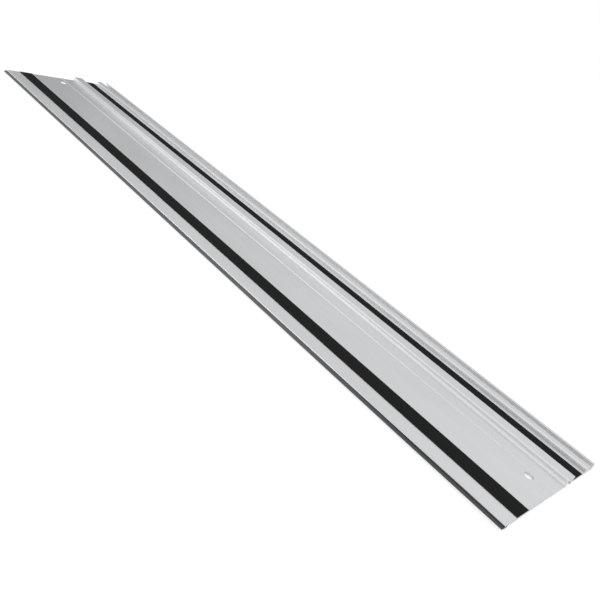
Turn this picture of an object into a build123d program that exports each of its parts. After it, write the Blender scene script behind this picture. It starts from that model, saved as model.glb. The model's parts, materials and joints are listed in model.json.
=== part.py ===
from build123d import *
import os

# Guide rail for a plunge-cut circular saw: an aluminium extrusion with a
# splinter guard, glide strips on its deck and grip strips underneath.
# +X runs along the rail, -Y is the cutting edge (front), +Y is the accessory
# slot side (rear), +Z is up.
# Origin: centre of the footprint, on the work surface the grip strips rest on.
# Section positions are given as u, the distance from the aluminium's
# cutting-side edge, and z, the height above the work surface. All in mm.

# ---- overall ----
rail_length = 1000.0
alu_width = 178.0
guard_overhang = 4.0        # guard lip outside the aluminium
deck_z = 4.5                # top of the deck
deck_t = 3.0
foot_z = 0.6                # lowest aluminium; the grip strips stand proud of it

# ---- guide ridge: an inverted U with a T-slot mouth below ----
ridge_u0 = 114.5
ridge_u1 = 129.0
ridge_h = 5.9               # above the deck
ridge_wall = 1.5
ridge_roof = 1.7
ridge_top_r = 1.2
ridge_front_foot_r = 4.0
ridge_rear_foot_r = 0.8
clamp_mouth = 7.8
clamp_lip_t = 1.5
clamp_lip_r = 0.4

# ---- accessory T-slot along the rear edge, open at the top ----
slot_u0 = 158.3
slot_h = 4.4                # above the deck
slot_mouth_u0 = 166.9
slot_mouth_u1 = 174.5
slot_cavity_u0 = 166.0
slot_wall = 1.5
slot_rear_wall = 2.6
slot_lip_t = 1.2
slot_floor_z = 4.2          # floor of the cavity
slot_floor_t = 1.8
slot_foot_r = 0.2           # where the block meets the deck
slot_shoulder_r = 3.2       # front shoulder of the block
slot_inner_r = 1.6          # under that shoulder
slot_outer_r = 0.6          # rear edge corners and front foot corner
slot_mouth_r = 0.4

# ---- bead on the deck, stiffening ribs under it ----
bead_u = 94.0
bead_w = 2.4
bead_h = 0.7
bead_r = 0.65
rib_t = 1.2
stiffener_u = (68.0, bead_u)
rear_rib_gap = 1.5          # from the rear grip strip to the rib behind it

# ---- thick cutting edge, with a keyed groove for the splinter guard ----
edge_w = 6.7
edge_top_r = 0.4
edge_foot_r = 0.5
groove_z0 = 1.55            # lower face of the groove
groove_h = 1.4
groove_depth = 3.0
pocket_depth = 2.2          # beyond the groove mouth
pocket_extra = 0.5          # the pocket rises above the mouth and holds the guard's barb
guard_t = 1.3
guard_key_gap = 0.15
guard_lip_r = 0.35

# ---- hanging holes ----
hole_d = 9.0
hole_u = 84.7
hole_end = 24.5             # hole centre to the rail's end
hole_chamfer = 0.3
hole_cut_extra = 4.0        # drill length beyond the deck thickness
cone_margin = 0.05          # enlarges the chamfer cone past the deck face

# ---- self-adhesive strips: a carrier on an adhesive film; (u0, u1) limits ----
film_t = 0.15
glide_t = 0.35
glide_strips = {"front": (20.3, 40.7), "rear": (131.4, 151.6)}
grip_strips = {"front": (18.75, 42.75), "rear": (131.5, 151.5)}
grip_gap = 0.15             # side gap between the front grip strip and its ribs
grip_end = 6.0              # the grip strips stop short of the rail's ends

# ---- overlaps that keep the booleans clean ----
embed = 0.5                 # a shape sinks into, or a cut runs into, its neighbour
cut_past = 1.0              # a cut runs out past an open face
pocket_overlap = 0.1

# ---- derived ----
centre_u = (alu_width - guard_overhang) / 2
deck_under = deck_z - deck_t
ridge_top = deck_z + ridge_h
slot_top = deck_z + slot_h
pocket_u1 = groove_depth + pocket_depth
pocket_top = groove_z0 + groove_h + pocket_extra


def rect(u0, u1, z0, z1):
    """Rectangle in the section plane, by its limits."""
    return Pos((u0 + u1) / 2 - centre_u, (z0 + z1) / 2) * Rectangle(u1 - u0, z1 - z0)


def round_corners(section, radius, points, tol=0.02):
    """Fillets the section's corners that lie at the given (u, z) points."""
    corners = ShapeList(
        v
        for v in section.vertices()
        for u, z in points
        if abs(v.X - (u - centre_u)) < tol and abs(v.Y - z) < tol
    )
    return fillet(corners, radius)


def along_x(section, length=rail_length):
    """Sweeps a section along X, centred on the origin."""
    return extrude(Plane.YZ * section, amount=length / 2, both=True)


def rail_section():
    """Section of the aluminium extrusion."""
    section = rect(0, alu_width - slot_wall, deck_under, deck_z)

    # thick cutting edge with the keyed groove
    section += rect(0, edge_w, foot_z, deck_z)
    section -= rect(-cut_past, groove_depth, groove_z0, groove_z0 + groove_h)
    section -= rect(groove_depth - pocket_overlap, pocket_u1, groove_z0, pocket_top)

    # ribs: both sides of the front grip strip, one behind the rear one,
    # and two stiffeners between
    front_u0, front_u1 = grip_strips["front"]
    rear_u1 = grip_strips["rear"][1]
    rib_starts = [front_u0 - grip_gap - rib_t, front_u1 + grip_gap, rear_u1 + rear_rib_gap]
    rib_starts += [u - rib_t / 2 for u in stiffener_u]
    for u0 in rib_starts:
        section += rect(u0, u0 + rib_t, foot_z, deck_z - embed)

    # bead
    bead_u0 = bead_u - bead_w / 2
    bead_u1 = bead_u + bead_w / 2
    bead_top = deck_z + bead_h
    section += rect(bead_u0, bead_u1, deck_z - embed, bead_top)

    # ridge block, then its cavity and mouth
    ridge_mid = (ridge_u0 + ridge_u1) / 2
    clamp_u0 = ridge_mid - clamp_mouth / 2
    clamp_u1 = ridge_mid + clamp_mouth / 2
    lip_top = foot_z + clamp_lip_t
    section += rect(ridge_u0, ridge_u1, foot_z, ridge_top)
    section -= rect(ridge_u0 + ridge_wall, ridge_u1 - ridge_wall, lip_top, ridge_top - ridge_roof)
    section -= rect(clamp_u0, clamp_u1, foot_z - cut_past, lip_top + embed)

    # slot block: its front shoulder, then the full-height part behind
    block_u0 = slot_cavity_u0 - slot_wall
    lip_under = slot_top - slot_lip_t
    section += rect(slot_u0, alu_width, deck_under, slot_top)
    section += rect(block_u0, alu_width, foot_z, slot_top)
    # T cavity, relief below its floor, mouth, relief under the shoulder
    section -= rect(slot_cavity_u0, alu_width - slot_rear_wall, slot_floor_z, lip_under)
    section -= rect(slot_mouth_u0, slot_mouth_u1, foot_z - cut_past, slot_floor_z - slot_floor_t)
    section -= rect(slot_mouth_u0, slot_mouth_u1, lip_under - embed, slot_top + cut_past)
    section -= rect(slot_u0 + slot_wall, block_u0, foot_z - cut_past, lip_under)

    # (radius, corners as (u, z))
    roundings = [
        (ridge_top_r, [(ridge_u0, ridge_top), (ridge_u1, ridge_top)]),
        (ridge_front_foot_r, [(ridge_u0, deck_z)]),
        (ridge_rear_foot_r, [(ridge_u1, deck_z)]),
        (slot_foot_r, [(slot_u0, deck_z)]),
        (slot_shoulder_r, [(slot_u0, slot_top)]),
        (slot_inner_r, [(slot_u0 + slot_wall, lip_under)]),
        (slot_outer_r, [(alu_width, slot_top), (alu_width, foot_z), (block_u0, foot_z)]),
        (slot_mouth_r, [(slot_mouth_u0, slot_top), (slot_mouth_u1, slot_top)]),
        (bead_r, [(bead_u0, bead_top), (bead_u1, bead_top)]),
        (edge_top_r, [(0, deck_z)]),
        (edge_foot_r, [(0, foot_z), (edge_w, foot_z)]),
        (clamp_lip_r, [(u, foot_z) for u in (ridge_u0, ridge_u1, clamp_u0, clamp_u1)]),
    ]
    for radius, points in roundings:
        section = round_corners(section, radius, points)
    return section


def rail_extrusion():
    """Extrusion with a hanging hole at each end, lightly chamfered at the deck face."""
    rail = along_x(rail_section())
    hole_r = hole_d / 2
    hole_y = hole_u - centre_u
    cone_z = deck_z - hole_chamfer / 2 + cone_margin
    for side in (-1, 1):
        x = side * (rail_length / 2 - hole_end)
        rail -= Pos(x, hole_y, deck_z - deck_t / 2) * Cylinder(hole_r, deck_t + hole_cut_extra)
        rail -= Pos(x, hole_y, cone_z) * Cone(
            hole_r - cone_margin,
            hole_r + hole_chamfer + cone_margin,
            hole_chamfer + 2 * cone_margin,
        )
    return rail


def splinter_guard():
    """Thin lip with a barb, lying on the groove's lower face."""
    barb_u0 = groove_depth + guard_key_gap
    lip_top = groove_z0 + guard_t
    section = rect(-guard_overhang, barb_u0, groove_z0, lip_top)
    section += rect(barb_u0, pocket_u1 - guard_key_gap, groove_z0, pocket_top - guard_key_gap)
    section = round_corners(section, guard_lip_r, [(-guard_overhang, lip_top)])
    return along_x(section)


pieces = {
    "rail_extrusion": rail_extrusion(),
    "splinter_guard": splinter_guard(),
}

# glide strips lie on the deck, film below the carrier
film_top = deck_z + film_t
for place, (u0, u1) in glide_strips.items():
    pieces[f"{place}_glide_strip"] = along_x(rect(u0, u1, film_top, film_top + glide_t))
    pieces[f"{place}_glide_adhesive"] = along_x(rect(u0, u1, deck_z, film_top))

# grip strips hang under the deck, film above, and reach the work surface
grip_length = rail_length - 2 * grip_end
grip_top = deck_under - film_t
for place, (u0, u1) in grip_strips.items():
    pieces[f"{place}_grip_strip"] = along_x(rect(u0, u1, 0, grip_top), grip_length)
    pieces[f"{place}_grip_adhesive"] = along_x(rect(u0, u1, grip_top, deck_under), grip_length)

# ---- one STEP per piece ----
os.makedirs("parts", exist_ok=True)
for name, piece in pieces.items():
    body = piece.solid()
    body.label = name
    export_step(body, os.path.join("parts", name + ".step"))
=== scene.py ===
"""An aluminium guide rail with its rubber splinter guard, glide strips and grip strips.

The rail lies along X with its underside towards the floor at z = 0. Its cutting edge,
which holds the splinter guard, is the front (-Y); the accessory slot is at the rear (+Y).
Sections are drawn as (u, z) in mm: u runs back from the cutting edge, z up from the floor.
"""
import json
import math
from functools import reduce

import bmesh
import bpy
from mathutils import Matrix, Vector


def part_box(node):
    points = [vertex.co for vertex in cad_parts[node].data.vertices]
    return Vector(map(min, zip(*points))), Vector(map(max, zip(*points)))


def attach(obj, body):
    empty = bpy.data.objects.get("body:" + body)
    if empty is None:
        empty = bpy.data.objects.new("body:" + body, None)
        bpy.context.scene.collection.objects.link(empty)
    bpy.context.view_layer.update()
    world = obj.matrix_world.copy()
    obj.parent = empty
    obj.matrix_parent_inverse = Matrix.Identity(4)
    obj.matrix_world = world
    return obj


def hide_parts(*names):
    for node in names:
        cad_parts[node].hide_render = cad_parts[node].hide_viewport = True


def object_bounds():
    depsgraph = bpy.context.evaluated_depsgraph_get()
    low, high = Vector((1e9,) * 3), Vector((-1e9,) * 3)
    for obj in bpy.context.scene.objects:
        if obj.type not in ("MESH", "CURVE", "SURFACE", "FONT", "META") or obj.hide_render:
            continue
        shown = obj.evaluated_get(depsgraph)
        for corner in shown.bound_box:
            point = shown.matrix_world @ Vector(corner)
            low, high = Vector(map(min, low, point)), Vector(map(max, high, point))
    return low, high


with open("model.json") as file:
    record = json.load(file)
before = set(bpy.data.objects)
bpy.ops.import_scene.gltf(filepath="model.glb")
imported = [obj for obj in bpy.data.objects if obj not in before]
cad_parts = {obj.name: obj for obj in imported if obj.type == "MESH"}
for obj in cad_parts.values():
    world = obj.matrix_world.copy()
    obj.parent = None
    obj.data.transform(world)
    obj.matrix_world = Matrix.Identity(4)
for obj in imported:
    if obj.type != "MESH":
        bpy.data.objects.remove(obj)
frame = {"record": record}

cad_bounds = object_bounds()
scene = bpy.context.scene
MM = 0.001

# ------------------------------------------------------------------ places
rail_lo, rail_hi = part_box("rail_extrusion")
guard_lo, guard_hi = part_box("splinter_guard")
X0, X1 = rail_lo.x, rail_hi.x                       # the two cut ends, m
WIDTH = (rail_hi.y - rail_lo.y) / MM
FOOT = rail_lo.z / MM                               # lowest aluminium
RIDGE_TOP = rail_hi.z / MM
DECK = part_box("front_glide_adhesive")[0].z / MM     # deck face
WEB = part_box("front_grip_adhesive")[1].z / MM       # underside of the web

SLOT_TOP = DECK + 4.4
SLOT_LIP = SLOT_TOP - 1.2       # underside of the slot's lips
SLOT_FLOOR = 4.2                # floor of the slot's cavity
FLOOR_UNDER = SLOT_FLOOR - 1.8  # underside of that floor
GROOVE_LOW = guard_lo.z / MM    # lower face of the guard's groove
GROOVE_MOUTH = GROOVE_LOW + 1.4  # upper face of its mouth
GROOVE_TOP = GROOVE_LOW + 1.9   # top of the pocket behind the mouth

holes = next(m for m in frame["record"]["mounts"] if m["name"] == "hanging_holes")
HOLE_R = holes["dims"]["hole_r_mm"]
HALF_PITCH = holes["dims"]["spacing_x_mm"] / 2
HOLE_XS = [holes["pos_m"][0] + side * HALF_PITCH * MM for side in (-1, 1)]
HOLE_Y = holes["pos_m"][1]


def from_x0(*distances):
    """World x of places the given mm in from the -X end."""
    return tuple(X0 + d * MM for d in distances)


def from_x1(*distances):
    """World x of places the given mm in from the +X end."""
    return tuple(X1 - d * MM for d in distances)


def across(*places):
    """World y of places the given mm behind the cutting edge."""
    return tuple(rail_lo.y + u * MM for u in places)


def heights(*places):
    """World z of places the given mm above the floor."""
    return tuple(z * MM for z in places)


# ------------------------------------------------------------------ mesh helpers
def rounded(corners, arc_step):
    """Closed loop of (u, z) from corners (u, z, radius), arcs cut every arc_step degrees."""
    points = []
    for i, (u, z, radius) in enumerate(corners):
        if radius <= 0:
            points.append((u, z))
            continue
        corner = Vector((u, z))
        back = Vector(corners[i - 1][:2]) - corner
        ahead = Vector(corners[(i + 1) % len(corners)][:2]) - corner
        back_len, ahead_len = back.length, ahead.length
        back.normalize()
        ahead.normalize()
        half = back.angle(ahead) / 2
        cut = min(radius / math.tan(half), back_len * 0.49, ahead_len * 0.49)
        fitted = cut * math.tan(half)
        centre = corner + (back + ahead).normalized() * (fitted / math.sin(half))
        start, end = corner + back * cut - centre, corner + ahead * cut - centre
        turn = math.atan2(start.x * end.y - start.y * end.x, start.dot(end))
        steps = max(2, int(math.ceil(abs(math.degrees(turn)) / arc_step)))
        for k in range(steps + 1):
            cos, sin = math.cos(turn * k / steps), math.sin(turn * k / steps)
            points.append((centre.x + start.x * cos - start.y * sin,
                           centre.y + start.x * sin + start.y * cos))
    loop = []
    for point in points:
        if not loop or math.dist(point, loop[-1]) > 1e-4:
            loop.append(point)
    if math.dist(loop[0], loop[-1]) < 1e-4:
        loop.pop()
    return loop


def inset(loop, distance):
    """The loop moved inwards, point for point (the loop runs anticlockwise)."""
    moved = []
    for i, place in enumerate(loop):
        point = Vector(place)
        before = (point - Vector(loop[i - 1])).normalized()
        after = (Vector(loop[(i + 1) % len(loop)]) - point).normalized()
        normal_before = Vector((-before.y, before.x))
        mitre = normal_before + Vector((-after.y, after.x))
        if mitre.length < 1e-6:
            mitre = normal_before
        mitre.normalize()
        moved.append(tuple(point + mitre * (distance / max(0.5, mitre.dot(normal_before)))))
    return moved


def link_mesh(name, bm):
    """Turns the bmesh into an object in the scene."""
    mesh = bpy.data.meshes.new(name)
    bm.to_mesh(mesh)
    bm.free()
    obj = bpy.data.objects.new(name, mesh)
    scene.collection.objects.link(obj)
    return obj


def solid(name, rings, downward=False):
    """A closed skin over rings of points; downward if they run from top to bottom."""
    bm = bmesh.new()
    rows = [[bm.verts.new(point) for point in ring] for ring in rings]
    count = len(rows[0])
    for a, b in zip(rows, rows[1:]):
        for i in range(count):
            j = (i + 1) % count
            bm.faces.new((a[i], a[j], b[j], b[i]))
    first, last = rows[0], rows[-1]
    bm.faces.new(first if downward else first[::-1])
    bm.faces.new(last[::-1] if downward else last)
    bmesh.ops.recalc_face_normals(bm, faces=bm.faces)
    return link_mesh(name, bm)


def sweep(name, loop, x0, x1, edge, step, move=None):
    """A closed bar of the given section between x0 and x1 (m).

    edge is the size of the edge break at each end and step the spacing of the rings,
    both in mm. move(x, u, z) may shift a point.
    """
    inner0, inner1 = x0 + edge * MM, x1 - edge * MM
    count = max(1, int(round((inner1 - inner0) / (step * MM))))
    small = inset(loop, edge)
    places = [(inner0 + (inner1 - inner0) * k / count, loop) for k in range(count + 1)]
    places = [(x0, small)] + places + [(x1, small)]
    rings = []
    for x, outline in places:
        if move:
            outline = [move(x, u, z) for u, z in outline]
        rings.append([(x, rail_lo.y + u * MM, z * MM) for u, z in outline])
    return solid(name, rings)


def apply_modifiers(obj):
    """Bakes the object's modifiers into its mesh."""
    bpy.context.view_layer.update()
    depsgraph = bpy.context.evaluated_depsgraph_get()
    baked = bpy.data.meshes.new_from_object(obj.evaluated_get(depsgraph))
    old = obj.data
    obj.modifiers.clear()
    obj.data = baked
    bpy.data.meshes.remove(old)


def shade(obj, sharp_angle=32.0):
    """Smooth shading with sharp corners and area-weighted normals."""
    for face in obj.data.polygons:
        face.use_smooth = True
    obj.data.set_sharp_from_angle(angle=math.radians(sharp_angle))
    mod = obj.modifiers.new("weighted_normals", "WEIGHTED_NORMAL")
    mod.keep_sharp = True
    mod.weight = 100
    mod.mode = "FACE_AREA"
    apply_modifiers(obj)


def clamp01(value):
    return max(0.0, min(1.0, value))


def ripple(x, *waves):
    """Sum of sines along the rail; each wave is (size, radians per metre, phase)."""
    return sum(size * math.sin(x * rate + phase) for size, rate, phase in waves)


# ------------------------------------------------------------------ aluminium rail
def rib(front, width=1.2):
    """A thin rib down from the web to the foot."""
    rear = front + width
    return [(front, WEB, 0.3), (front, FOOT, 0.25), (rear, FOOT, 0.25), (rear, WEB, 0.3)]


# u, z, corner radius; anticlockwise, back along the underside and forward along the top
RAIL_SECTION = [
    (0, FOOT, 0.5), (6.7, FOOT, 0.5), (6.7, WEB, 0.35),
    *rib(17.4), *rib(42.9), *rib(67.4), *rib(93.4),
    # hollow of the ridge, open below between two inturned feet
    (114.5, WEB, 0.4), (114.5, FOOT, 0.4), (117.85, FOOT, 0.4), (117.85, FOOT + 1.5, 0.2),
    (116.0, FOOT + 1.5, 0.3), (116.0, RIDGE_TOP - 1.7, 0.5),
    (127.5, RIDGE_TOP - 1.7, 0.5), (127.5, FOOT + 1.5, 0.3),
    (125.65, FOOT + 1.5, 0.2), (125.65, FOOT, 0.4), (129.0, FOOT, 0.4), (129.0, WEB, 0.4),
    *rib(153.0),
    # underside of the accessory slot
    (159.8, WEB, 0.3), (159.8, SLOT_LIP, 1.6), (164.5, SLOT_LIP, 0.4), (164.5, FOOT, 0.6),
    (166.9, FOOT, 0.4), (166.9, FLOOR_UNDER, 0.4), (174.5, FLOOR_UNDER, 0.4),
    (174.5, FOOT, 0.4),
    # rear face, then the slot and its cavity
    (WIDTH, FOOT, 0.6), (WIDTH, SLOT_TOP, 0.6), (174.5, SLOT_TOP, 0.4),
    (174.5, SLOT_LIP, 0.25), (175.4, SLOT_LIP, 0.3), (175.4, SLOT_FLOOR, 0.4),
    (166.0, SLOT_FLOOR, 0.4), (166.0, SLOT_LIP, 0.3), (166.9, SLOT_LIP, 0.25),
    (166.9, SLOT_TOP, 0.4), (158.3, SLOT_TOP, 3.2), (158.3, DECK, 0.2),
    # ridge, and the low bead in front of it
    (129.0, DECK, 0.8), (129.0, RIDGE_TOP, 1.2), (114.5, RIDGE_TOP, 1.2), (114.5, DECK, 4.0),
    (95.2, DECK, 0.5), (95.2, DECK + 0.7, 0.65), (92.8, DECK + 0.7, 0.65), (92.8, DECK, 0.5),
    # cutting edge with the guard's groove
    (0, DECK, 0.4), (0, GROOVE_MOUTH, 0.15), (2.95, GROOVE_MOUTH, 0.12),
    (2.95, GROOVE_TOP, 0.2), (5.2, GROOVE_TOP, 0.2), (5.2, GROOVE_LOW, 0.15),
    (0, GROOVE_LOW, 0.15),
]

# radius, z of the hanging hole's cutter from the top down; it flares at both faces
BORE_PROFILE = [
    (HOLE_R + 0.9, DECK + 0.6), (HOLE_R + 0.3, DECK), (HOLE_R + 0.2, DECK - 0.1),
    (HOLE_R + 0.07, DECK - 0.24), (HOLE_R, DECK - 0.4),
    (HOLE_R, WEB + 0.25), (HOLE_R + 0.2, WEB), (HOLE_R + 0.8, WEB - 0.6),
]
BORE_SEGMENTS = 96


def bore_cutter(name, centre_x):
    angles = [2 * math.pi * s / BORE_SEGMENTS for s in range(BORE_SEGMENTS)]
    rings = [
        [(centre_x + radius * MM * math.cos(angle), HOLE_Y + radius * MM * math.sin(angle), z * MM)
         for angle in angles]
        for radius, z in BORE_PROFILE
    ]
    return solid(name, rings, downward=True)


def make_rail():
    """The extrusion with its two hanging holes."""
    obj = sweep("rail", rounded(RAIL_SECTION, arc_step=8.0), X0, X1, edge=0.18, step=250)
    cutters = []
    for k, centre_x in enumerate(HOLE_XS):
        cutter = bore_cutter("bore_cutter_%d" % k, centre_x)
        cutters.append(cutter)
        mod = obj.modifiers.new("bore_%d" % k, "BOOLEAN")
        mod.operation = "DIFFERENCE"
        mod.solver = "EXACT"
        mod.object = cutter
    apply_modifiers(obj)
    for cutter in cutters:
        bpy.data.objects.remove(cutter)
    shade(obj)
    return obj


rail = make_rail()

# ------------------------------------------------------------------ splinter guard
GUARD_FREE = (guard_lo.y - rail_lo.y) / MM      # free edge of the lip
GUARD_TOP = guard_hi.z / MM
LIP_TOP = GROOVE_LOW + 1.3

# u, z, corner radius; the close points near u = 0 let the lip bend sharply there
GUARD_SECTION = [
    (GUARD_FREE, GROOVE_LOW, 0.3), (-0.9, GROOVE_LOW, 0.0), (-0.2, GROOVE_LOW, 0.0),
    (-0.06, GROOVE_LOW, 0.0), (5.0, GROOVE_LOW, 0.15),
    (5.0, GUARD_TOP, 0.2), (3.2, GUARD_TOP, 0.2), (3.2, LIP_TOP, 0.1),
    (-0.06, LIP_TOP, 0.0), (-0.2, LIP_TOP, 0.05), (-0.9, LIP_TOP - 0.1, 0.2),
    (-1.5, LIP_TOP - 0.12, 0.2), (-2.0, LIP_TOP, 0.2), (GUARD_FREE, LIP_TOP, 0.35),
]
# mm from the +X end; mm the lip is raised beside the aluminium; mm its free edge is
# raised (lowered where negative)
BEND = (
    (0, 1.64, 0.75), (22, 1.62, 0.60), (90, 1.38, 0.13), (150, 1.10, -0.10),
    (220, 0.84, -0.30), (400, 0.57, -0.50), (600, 0.50, -0.47), (800, 0.53, -0.44),
    (930, 0.70, -0.47), (1000, 0.80, -0.47),
)
BEND_START, BEND_LENGTH = 0.06, 0.09    # where the lip rises, mm in front of the aluminium
LIP_REACH = 4.0                         # mm over which the free edge's own shift grows


def bend(x):
    """The two heights of BEND at x, in straight blends between the listed places."""
    distance = (X1 - x) / MM
    for (d0, held0, free0), (d1, held1, free1) in zip(BEND, BEND[1:]):
        if distance <= d1:
            t = max(0.0, (distance - d0) / (d1 - d0))
            return held0 + (held1 - held0) * t, free0 + (free1 - free0) * t
    return BEND[-1][1:]


def move_guard(x, u, z):
    """Bends the lip and lets its free edge wander by a tenth of a millimetre."""
    free = clamp01(-u / LIP_REACH)
    wander = ripple(x, (1.0, 23.0, 0.4), (0.6, 61.0, 2.1), (0.35, 137.0, 0.0))
    held_rise, free_rise = bend(x)
    out = clamp01((-u - BEND_START) / BEND_LENGTH)
    rise = out * (held_rise + (free_rise - held_rise) * free)
    return u + free * (0.05 * wander + 0.1), z - free * 0.03 * wander + rise


guard = sweep("splinter_guard_rubber", rounded(GUARD_SECTION, arc_step=12.0), X0, X1,
              edge=0.1, step=8, move=move_guard)
shade(guard)


# ------------------------------------------------------------------ strips
def strip(node, name, top_r, bottom_r, edge, step=250, move=None, trim=0.0):
    """A flat bar in the place of a CAD piece, cut short by trim at its rear edge."""
    lo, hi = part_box(node)
    front, rear = (lo.y - rail_lo.y) / MM, (hi.y - rail_lo.y) / MM - trim
    low, high = lo.z / MM, hi.z / MM
    corners = [(front, low, bottom_r), (rear, low, bottom_r),
               (rear, high, top_r), (front, high, top_r)]
    piece = sweep(name, rounded(corners, arc_step=12.0), lo.x, hi.x, edge, step, move)
    shade(piece)
    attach(piece, "root")
    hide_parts(node)
    return piece


def foam_wave(phase):
    """Uneven underside for a foam strip, fading out towards its glued face."""
    fade_height = 1.95      # mm above the floor

    def move(x, u, z):
        wave = ripple(x, (1.0, 41.0, phase), (0.7, 97.0, 2 * phase), (0.5, 211.0, u))
        return u, z + 0.045 * (wave + 2.2) * clamp01((fade_height - z) / fade_height)
    return move


GLIDE = dict(top_r=0.14, bottom_r=0.05, edge=0.1)
FILM = dict(top_r=0.03, bottom_r=0.03, edge=0.03)
GRIP = dict(top_r=0.1, bottom_r=0.45, edge=0.25, step=6)

glides = [
    strip("front_glide_strip", "front_glide", **GLIDE),
    strip("rear_glide_strip", "rear_glide", trim=0.3, **GLIDE),
]
films = [
    strip("front_glide_adhesive", "front_glide_film", **FILM),
    strip("rear_glide_adhesive", "rear_glide_film", trim=0.35, **FILM),
    strip("front_grip_adhesive", "front_grip_film", **FILM),
    strip("rear_grip_adhesive", "rear_grip_film", **FILM),
]
grips = [
    strip("front_grip_strip", "front_grip", move=foam_wave(phase=0.3), **GRIP),
    strip("rear_grip_strip", "rear_grip", move=foam_wave(phase=1.7), **GRIP),
]

for piece, node in ((rail, "rail_extrusion"), (guard, "splinter_guard")):
    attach(piece, "root")
    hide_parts(node)


# ------------------------------------------------------------------ node helpers
class Graph:
    """Shorthand for building a node tree."""

    def __init__(self, tree):
        self.tree = tree
        tree.nodes.clear()

    def node(self, kind, **props):
        node = self.tree.nodes.new(kind)
        for key, value in props.items():
            setattr(node, key, value)
        return node

    def feed(self, socket, value):
        """Links an output to the socket, or sets the socket's value."""
        if isinstance(value, bpy.types.NodeSocket):
            self.tree.links.new(value, socket)
        else:
            socket.default_value = value

    def math(self, operation, *values, clamp=False):
        node = self.node("ShaderNodeMath", operation=operation, use_clamp=clamp)
        for socket, value in zip(node.inputs, values):
            self.feed(socket, value)
        return node.outputs[0]

    def split(self, vector):
        node = self.node("ShaderNodeSeparateXYZ")
        self.feed(node.inputs[0], vector)
        return node.outputs


class Material(Graph):
    """A material with one principled shader, patterned in object coordinates (metres)."""

    def __init__(self, name):
        self.material = bpy.data.materials.new(name)
        self.material.use_nodes = True
        super().__init__(self.material.node_tree)
        output = self.node("ShaderNodeOutputMaterial")
        self.shader = self.node("ShaderNodeBsdfPrincipled")
        self.feed(output.inputs[0], self.shader.outputs[0])
        self.coords = self.node("ShaderNodeTexCoord").outputs["Object"]

    def set(self, name, value):
        self.feed(self.shader.inputs[name], value)

    def math(self, operation, a, b=0.0):
        return super().math(operation, a, b, 0.0)

    def add(self, *terms):
        return reduce(lambda a, b: self.math("ADD", a, b), terms)

    def times(self, *factors):
        return reduce(lambda a, b: self.math("MULTIPLY", a, b), factors)

    def per_metre(self, x, y=None, z=None):
        """Pattern coordinates with this many units to the metre; y falls back to x, z to y."""
        y = x if y is None else y
        z = y if z is None else z
        node = self.node("ShaderNodeVectorMath", operation="MULTIPLY")
        self.feed(node.inputs[0], self.coords)
        node.inputs[1].default_value = (x, y, z)
        return node.outputs[0]

    def vector(self, x, y=0.0):
        node = self.node("ShaderNodeCombineXYZ")
        self.feed(node.inputs[0], x)
        self.feed(node.inputs[1], y)
        return node.outputs[0]

    def noise(self, vector, detail=2.0, roughness=0.5):
        node = self.node("ShaderNodeTexNoise")
        self.feed(node.inputs["Vector"], vector)
        node.inputs["Scale"].default_value = 1.0
        node.inputs["Detail"].default_value = detail
        node.inputs["Roughness"].default_value = roughness
        return node.outputs[0]

    def voronoi(self, vector, feature="F1"):
        node = self.node("ShaderNodeTexVoronoi", feature=feature)
        self.feed(node.inputs["Vector"], vector)
        node.inputs["Scale"].default_value = 1.0
        return node.outputs["Distance"]

    def remap(self, value, span, to=(0.0, 1.0)):
        """Straight blend between the two values of to as value crosses span."""
        node = self.node("ShaderNodeMapRange")
        self.feed(node.inputs["Value"], value)
        for key, number in zip(("From Min", "From Max", "To Min", "To Max"), (*span, *to)):
            node.inputs[key].default_value = number
        return node.outputs[0]

    def mix(self, factor, low, high):
        """Colour low where factor is 0, high where it is 1."""
        node = self.node("ShaderNodeMix", data_type="RGBA")
        self.feed(node.inputs[0], factor)
        for socket, colour in ((node.inputs[6], low), (node.inputs[7], high)):
            self.feed(socket, (*colour, 1.0) if isinstance(colour, tuple) else colour)
        return node.outputs[2]

    def bump(self, height, strength, distance, normal=None):
        node = self.node("ShaderNodeBump")
        self.feed(node.inputs["Height"], height)
        node.inputs["Strength"].default_value = strength
        node.inputs["Distance"].default_value = distance
        if normal is not None:
            self.feed(node.inputs["Normal"], normal)
        return node.outputs[0]


NOISE = (0.3, 0.7)          # span that holds most of one noise
TWO_NOISES = (0.7, 1.3)     # and of two added together
FALL = (1.0, 0.0)


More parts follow.
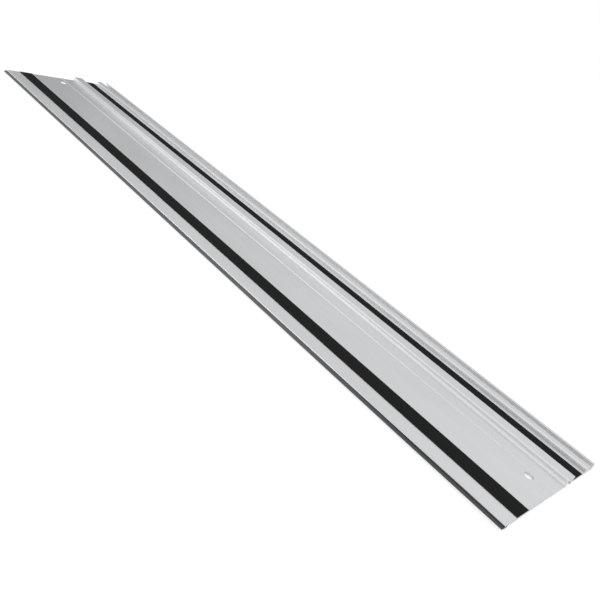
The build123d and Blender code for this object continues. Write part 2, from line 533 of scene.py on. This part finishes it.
# ------------------------------------------------------------------ materials
def anodised_patches(m, colour):
    """Lays painted light and shade at places on the rail over its colour."""
    dull = (0.50, 0.505, 0.515)
    x, y, z = m.split(m.coords)

    # painted highlight along the cutting edge, and painted shade on it close to the +X end
    edge = m.remap(y, across(0.35, 0.6), FALL)
    painted_light = m.times(edge, m.remap(x, from_x1(220, 120), FALL))
    colour = m.mix(painted_light, colour, high=(0.94, 0.943, 0.95))
    painted_edge_shade = m.times(m.remap(x, from_x1(100, 40), to=(0.0, 0.85)), edge)
    colour = m.mix(painted_edge_shade, colour, high=(0.16, 0.162, 0.168))

    # painted sheen: the band behind the cutting edge is painted paler, fading towards both ends
    pale = m.times(
        m.remap(x, from_x1(600, 200), FALL),
        m.remap(x, from_x0(0, 250), to=(0.25, 1.0)),
        m.remap(y, across(20.5, 30.0), FALL))
    colour = m.mix(pale, colour, high=(0.835, 0.843, 0.858))

    # painted shade: the corner between the deck and the front of the slot is painted duller
    corner = m.times(
        m.remap(y, across(157.0, 158.1)),
        m.remap(y, across(158.38, 158.6), FALL),
        m.remap(z, heights(DECK + 0.6, DECK + 1.5), FALL),
        m.remap(x, from_x1(400, 50), to=(0.3, 0.75)))
    colour = m.mix(corner, colour, high=dull)

    # painted light: the rear wall of the slot's cavity is painted brighter than the lips above it
    painted_cavity_light = m.times(
        m.remap(y, across(174.9, 175.2)),
        m.remap(y, across(175.8, 176.4), FALL),
        m.remap(z, heights(SLOT_LIP - 0.1, SLOT_LIP + 0.2), FALL),
        m.times(m.remap(x, from_x1(300, 20), to=(1.0, 0.5)),
                m.remap(x, from_x0(0, 250), to=(0.15, 1.0))))
    colour = m.mix(painted_cavity_light, colour, high=(0.97, 0.972, 0.975))

    # painted shade: the deck is painted greyer towards the -X end
    painted_far_shade = m.times(
        m.remap(x, from_x0(0, 200), to=(0.75, 0.0)),
        m.remap(y, across(38.0, 46.0)),
        m.remap(y, across(152.0, 156.0), FALL),
        m.remap(z, heights(DECK + 1.0, DECK + 3.0), to=(1.0, 0.35)))
    colour = m.mix(painted_far_shade, colour, high=(0.60, 0.607, 0.62))

    # painted shade: the rear face is painted duller all along
    return m.mix(m.remap(y, across(177.35, 177.8)), colour, high=dull)


def anodised():
    """Satin aluminium: lines from the die along the rail, fine grain, slight tone changes, and
    painted light and shade at some places.
    """
    m = Material("anodised_aluminium")
    lines = m.noise(m.per_metre(x=3.0, y=2600.0), detail=3.0, roughness=0.6)
    broad = m.noise(m.per_metre(x=0.8, y=160.0))
    grain = m.noise(m.per_metre(5200.0), roughness=0.6)
    cloud = m.noise(m.per_metre(x=7.0, y=24.0))
    tone = m.add(
        m.remap(broad, NOISE, to=(-0.5, 0.5)),
        m.remap(lines, NOISE, to=(-0.35, 0.35)),
        m.remap(grain, span=(0.25, 0.75), to=(-0.5, 0.5)),
        m.remap(cloud, NOISE, to=(-0.4, 0.4)))
    base = m.mix(m.remap(tone, span=(-1.2, 1.2)),
                 low=(0.70, 0.708, 0.722), high=(0.755, 0.762, 0.775))
    m.set("Base Color", anodised_patches(m, base))
    m.set("Metallic", 0.86)
    m.set("Roughness", m.add(m.remap(lines, NOISE, to=(0.40, 0.46)),
                             m.remap(cloud, NOISE, to=(-0.02, 0.02))))
    m.set("Anisotropic", 0.35)
    m.set("Anisotropic Rotation", 0.25)
    m.set("Tangent", m.vector(x=1.0))
    m.set("Coat Weight", 0.12)
    m.set("Coat Roughness", 0.3)
    die_marks = m.bump(lines, strength=0.10, distance=0.00002)
    m.set("Normal", m.bump(grain, strength=0.16, distance=0.00003, normal=die_marks))
    return m.material


def sawn():
    """Cut aluminium: arcs from the saw about a centre below and in front of the origin."""
    m = Material("sawn_aluminium")
    below, in_front = 0.19, 0.06        # m
    _, y, z = m.split(m.coords)
    dy = m.add(y, in_front)
    dz = m.add(z, below)
    radius = m.math("SQRT", m.add(m.times(dy, dy), m.times(dz, dz)))
    arcs = m.noise(m.vector(x=m.times(radius, 3800.0), y=m.times(y, 12.0)), roughness=0.6)
    fine = m.noise(m.per_metre(6000.0), roughness=0.6)
    m.set("Base Color", m.mix(m.remap(arcs, NOISE),
                              low=(0.42, 0.424, 0.43), high=(0.53, 0.534, 0.54)))
    m.set("Metallic", 0.9)
    m.set("Roughness", m.remap(arcs, NOISE, to=(0.32, 0.5)))
    saw_marks = m.bump(arcs, strength=0.35, distance=0.00004)
    m.set("Normal", m.bump(fine, strength=0.1, distance=0.00002, normal=saw_marks))
    return m.material


def bored():
    """Drilled aluminium: fine rings round the bore, with painted light that makes it brighter
    towards -X.
    """
    m = Material("bored_aluminium")
    rings = m.noise(m.per_metre(x=300.0, y=300.0, z=9000.0), roughness=0.6)
    stain = m.noise(m.per_metre(700.0))
    dull = m.mix(m.remap(m.add(rings, stain), TWO_NOISES),
                 low=(0.50, 0.503, 0.51), high=(0.66, 0.663, 0.67))
    # painted light: the bore is painted near-white towards -X
    painted_light = m.remap(m.split(m.coords)[0], span=(-0.2, 0.2), to=(0.9, 0.0))
    m.set("Base Color", m.mix(painted_light, dull, high=(0.97, 0.972, 0.975)))
    m.set("Metallic", 0.85)
    m.set("Roughness", m.remap(rings, NOISE, to=(0.34, 0.5)))
    m.set("Normal", m.bump(rings, strength=0.4, distance=0.00004))
    return m.material


def glide_plastic():
    """Black low-friction strip with a fine pebbled face."""
    m = Material("glide_plastic")
    pebble = m.voronoi(m.per_metre(1800.0), feature="SMOOTH_F1")
    fine = m.noise(m.per_metre(4200.0), roughness=0.6)
    wear = m.noise(m.per_metre(x=6.0, y=500.0))
    m.set("Base Color", m.mix(m.remap(m.add(fine, wear), TWO_NOISES),
                              low=(0.0090, 0.0092, 0.0096), high=(0.0150, 0.0153, 0.0160)))
    m.set("Roughness", m.remap(m.add(wear, fine), TWO_NOISES, to=(0.62, 0.76)))
    m.set("Specular IOR Level", 0.04)
    pebbled = m.bump(pebble, strength=0.35, distance=0.00005)
    m.set("Normal", m.bump(fine, strength=0.22, distance=0.00003, normal=pebbled))
    return m.material


def rubber():
    """Matt dark rubber with drawing lines along it; dusty, with painted shade near the +X end."""
    m = Material("guard_rubber")
    draw = m.noise(m.per_metre(x=4.0, y=3000.0))
    dust = m.noise(m.per_metre(x=30.0, y=300.0), detail=3.0, roughness=0.6)
    fine = m.noise(m.per_metre(3500.0), roughness=0.6)
    worn = m.mix(m.remap(m.add(dust, draw), TWO_NOISES),
                 low=(0.072, 0.074, 0.077), high=(0.108, 0.110, 0.113))
    x, y, _ = m.split(m.coords)
    # painted shade: the lip is painted darker near the +X end, with a near-black painted shadow
    # along its root beside the aluminium
    painted_near_shade = m.remap(x, from_x1(260, 100))
    root = m.times(painted_near_shade, m.remap(y, across(-2.5, -1.5)))
    painted_shade_colour = m.mix(root, low=(0.045, 0.047, 0.050), high=(0.008, 0.008, 0.009))
    m.set("Base Color", m.mix(painted_near_shade, worn, painted_shade_colour))
    m.set("Roughness", m.remap(fine, NOISE, to=(0.55, 0.72)))
    m.set("Specular IOR Level", 0.4)
    m.set("Sheen Weight", 0.05)
    drawn = m.bump(draw, strength=0.25, distance=0.00003)
    m.set("Normal", m.bump(fine, strength=0.2, distance=0.00003, normal=drawn))
    return m.material


def grip_foam():
    """Closed-cell foam: small open bubbles in a matt black face."""
    m = Material("grip_foam")
    cells = m.voronoi(m.per_metre(1500.0))
    large_cells = m.voronoi(m.per_metre(620.0))
    tone = m.noise(m.per_metre(60.0), detail=3.0, roughness=0.6)
    m.set("Base Color", m.mix(m.remap(m.add(cells, m.times(tone, 0.6)), span=(0.2, 1.0)),
                              low=(0.012, 0.012, 0.013), high=(0.036, 0.036, 0.038)))
    m.set("Roughness", 0.88)
    m.set("Specular IOR Level", 0.25)
    pitted = m.bump(large_cells, strength=0.5, distance=0.00025)
    m.set("Normal", m.bump(cells, strength=0.6, distance=0.0001, normal=pitted))
    return m.material


def adhesive_film():
    """Pale adhesive film, seen only at its edges."""
    m = Material("adhesive_film")
    tone = m.noise(m.per_metre(x=400.0, y=900.0))
    m.set("Base Color", m.mix(m.remap(tone, NOISE),
                              low=(0.34, 0.33, 0.30), high=(0.46, 0.45, 0.41)))
    m.set("Roughness", m.remap(tone, NOISE, to=(0.3, 0.5)))
    m.set("Normal", m.bump(tone, strength=0.2, distance=0.00003))
    return m.material


def rail_slot(face):
    """Material slot of a rail face: 0 anodised, 1 sawn end, 2 bore."""
    x, y, _ = face.center
    reach = (HOLE_R + 0.45) * MM
    near_hole = any((x - hole_x) ** 2 + (y - HOLE_Y) ** 2 < reach ** 2 for hole_x in HOLE_XS)
    if near_hole and abs(face.normal.z) < 0.9:
        return 2
    at_end = min(abs(x - X0), abs(x - X1)) < 0.4 * MM
    return 1 if at_end and abs(face.normal.x) > 0.5 else 0


def dress(objects, material):
    for obj in objects:
        obj.data.materials.clear()
        obj.data.materials.append(material)


rail.data.materials.clear()
for material in (anodised(), sawn(), bored()):
    rail.data.materials.append(material)
for face in rail.data.polygons:
    face.material_index = rail_slot(face)

glide_material, foam_material, film_material = glide_plastic(), grip_foam(), adhesive_film()
dress([guard], rubber())
dress(glides, glide_material)
dress(grips, foam_material)
dress(films, film_material)

# ------------------------------------------------------------------ floor
FLOOR_HALF = 30.0       # m
bm = bmesh.new()
bm.faces.new([bm.verts.new((x * FLOOR_HALF, y * FLOOR_HALF, 0.0))
              for x, y in ((-1, -1), (1, -1), (1, 1), (-1, 1))])
floor = link_mesh("floor", bm)


def studio_floor():
    """Glowing floor, darker behind the rail; the camera sees its own grey and glow."""
    m = Material("studio_floor")
    camera_glow = 0.80
    pale = m.mix(m.noise(m.per_metre(3.0)), low=(0.86, 0.862, 0.865), high=(0.88, 0.882, 0.885))
    to_camera = m.node("ShaderNodeLightPath").outputs["Is Camera Ray"]
    behind = m.remap(m.split(m.coords)[1], span=(rail_hi.y + 0.01, rail_hi.y + 0.10))
    grey = m.mix(behind, pale, high=(0.42, 0.422, 0.425))
    m.set("Base Color", m.mix(to_camera, grey, high=(0.24, 0.241, 0.243)))
    m.set("Roughness", 0.9)
    m.set("Specular IOR Level", 0.0)
    m.set("Emission Color", (1.0, 1.0, 1.0, 1.0))
    glow = m.remap(behind, span=(0.0, 1.0), to=(0.50, 0.12))
    extra = m.times(to_camera, m.math("SUBTRACT", camera_glow, glow))
    m.set("Emission Strength", m.add(extra, glow))
    return m.material


floor.data.materials.append(studio_floor())

# ------------------------------------------------------------------ light
# The room's brightness every 30 degrees round the horizon, from -X by -Y, +X and +Y back
# to -X, one row for each of the first three ROOM_HEIGHTS; OVERHEAD is for the last.
ROOM = (
    (0.89, 1.12, 1.12, 1.12, 0.88, 0.88, 1.07, 1.12, 1.12, 1.06, 1.12, 0.98),
    (0.00, 0.86, 0.80, 0.92, 0.88, 0.88, 1.12, 1.12, 1.12, 0.33, 0.64, 0.00),
    (0.87, 1.12, 0.78, 0.78, 1.12, 1.12, 1.12, 1.12, 1.12, 1.10, 0.72, 0.86),
)
OVERHEAD = 1.12
ROOM_HEIGHTS = (0.0, 0.25, 0.6, 1.0)    # z of the direction looked in


def ring(g, turn, levels):
    """Brightness round the horizon at one height."""
    node = g.node("ShaderNodeValToRGB")
    stops = node.color_ramp.elements
    peak = max(levels)
    for i in range(1, len(levels)):
        stops.new(i / len(levels))
    for i, level in enumerate((*levels, levels[0])):
        stops[i].position = i / len(levels)
        stops[i].color = (level / peak, level / peak, level / peak, 1.0)
    g.feed(node.inputs[0], turn)
    return g.math("MULTIPLY", node.outputs[0], peak)


def background(g, strength):
    node = g.node("ShaderNodeBackground")
    node.inputs[0].default_value = (1.0, 1.0, 1.0, 1.0)
    g.feed(node.inputs[1], strength)
    return node.outputs[0]


def make_world():
    """The room lights the rail; the camera sees plain white."""
    world = bpy.data.worlds.new("studio")
    scene.world = world
    world.use_nodes = True
    g = Graph(world.node_tree)
    x, y, z = g.split(g.node("ShaderNodeTexCoord").outputs["Generated"])
    angle = g.math("ARCTAN2", y, x)
    turn = g.math("ADD", g.math("DIVIDE", angle, 2 * math.pi), 0.5)
    sky, *upper = [ring(g, turn, levels) for levels in ROOM]
    for low, high, level in zip(ROOM_HEIGHTS, ROOM_HEIGHTS[1:], (*upper, OVERHEAD)):
        t = g.math("DIVIDE", g.math("SUBTRACT", z, low), high - low, clamp=True)
        sky = g.math("ADD", sky, g.math("MULTIPLY", g.math("SUBTRACT", level, sky), t))
    mixer = g.node("ShaderNodeMixShader")
    g.feed(mixer.inputs[0], g.node("ShaderNodeLightPath").outputs["Is Camera Ray"])
    g.feed(mixer.inputs[1], background(g, sky))
    g.feed(mixer.inputs[2], background(g, 1.0))
    g.feed(g.node("ShaderNodeOutputWorld").inputs[0], mixer.outputs[0])


def soft_box(name, offset, power, size=0.8):
    """A square area light, offset in metres from the rail's middle and aimed at it."""
    middle = (Vector(cad_bounds[0]) + Vector(cad_bounds[1])) / 2
    place = middle + Vector(offset)
    data = bpy.data.lights.new(name, "AREA")
    data.shape = "RECTANGLE"
    data.size = data.size_y = size
    data.energy = power
    obj = bpy.data.objects.new(name, data)
    scene.collection.objects.link(obj)
    obj.location = place
    obj.rotation_euler = (middle - place).to_track_quat("-Z", "Y").to_euler()


make_world()
soft_box("side_near", offset=(-1.3, -2.5, 0.9), power=3.6)
soft_box("side_low", offset=(-1.9, -2.1, 0.5), power=4.5)

# ------------------------------------------------------------------ camera
EYE_OFFSET = Vector((90.916, -469.580, 318.825))    # mm from the deck's front corner at +X
RIGHT = Vector((0.63041315, 0.69622001, 0.34330301))
DOWN = Vector((0.54621434, -0.08360949, -0.83346226))
AHEAD = Vector((-0.55156972, 0.7129426, -0.43299388))

camera_data = bpy.data.cameras.new("camera")
camera = bpy.data.objects.new("camera", camera_data)
scene.collection.objects.link(camera)
scene.camera = camera
camera_data.sensor_width = 36.0
camera_data.lens = 40.2094
camera_data.clip_start, camera_data.clip_end = 0.01, 200.0
eye = Vector((X1, rail_lo.y, DECK * MM)) + EYE_OFFSET * MM
rotation = Matrix((RIGHT, -DOWN, -AHEAD)).transposed()
camera.matrix_world = Matrix.Translation(eye) @ rotation.to_4x4()

scene.view_settings.view_transform = "Standard"
scene.view_settings.look = "None"
scene.view_settings.exposure = 0.0
scene.view_settings.gamma = 1.0
